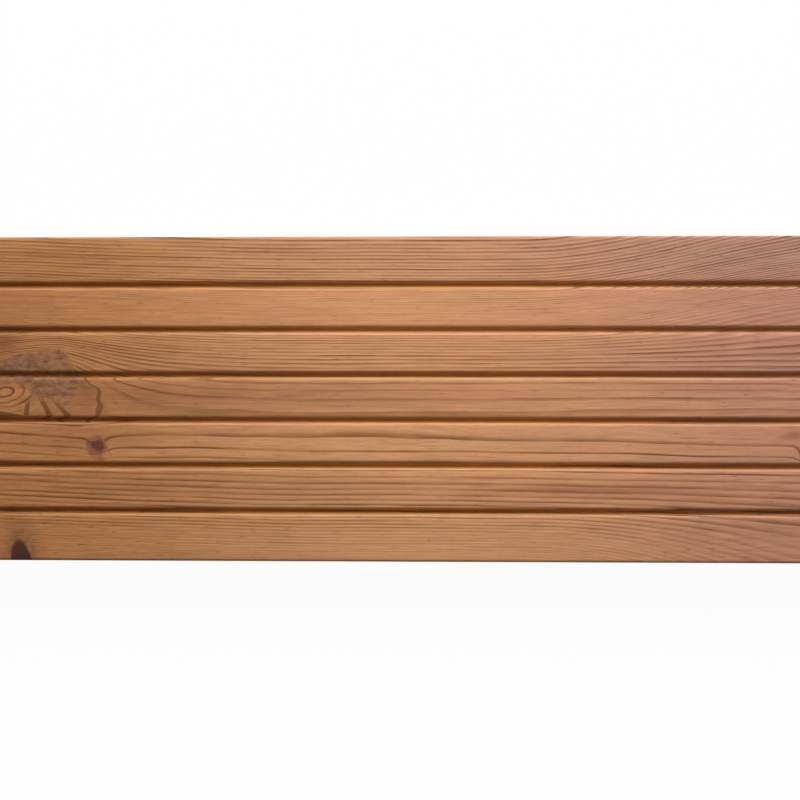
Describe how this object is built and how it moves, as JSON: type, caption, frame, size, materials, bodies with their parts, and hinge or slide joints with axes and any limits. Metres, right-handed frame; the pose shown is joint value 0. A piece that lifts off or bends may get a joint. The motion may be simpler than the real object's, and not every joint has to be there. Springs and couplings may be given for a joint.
{
  "type": "cladding board",
  "caption": "Square-edged heat-treated softwood board with a ribbed show face and a smooth back, for facades, fences, ceilings or decks.",
  "frame": {"origin": "middle of the smooth back face, halfway along the board", "axes": "+X along the board and its grain, +Y across the ribs, +Z out of the ribbed face"},
  "size_m": [2.4, 0.14, 0.026],
  "materials": {
    "heat_treated_softwood": "planed"
  },
  "bodies": {
    "root": {"cladding_board": "heat_treated_softwood"}
  },
  "joints": []
}
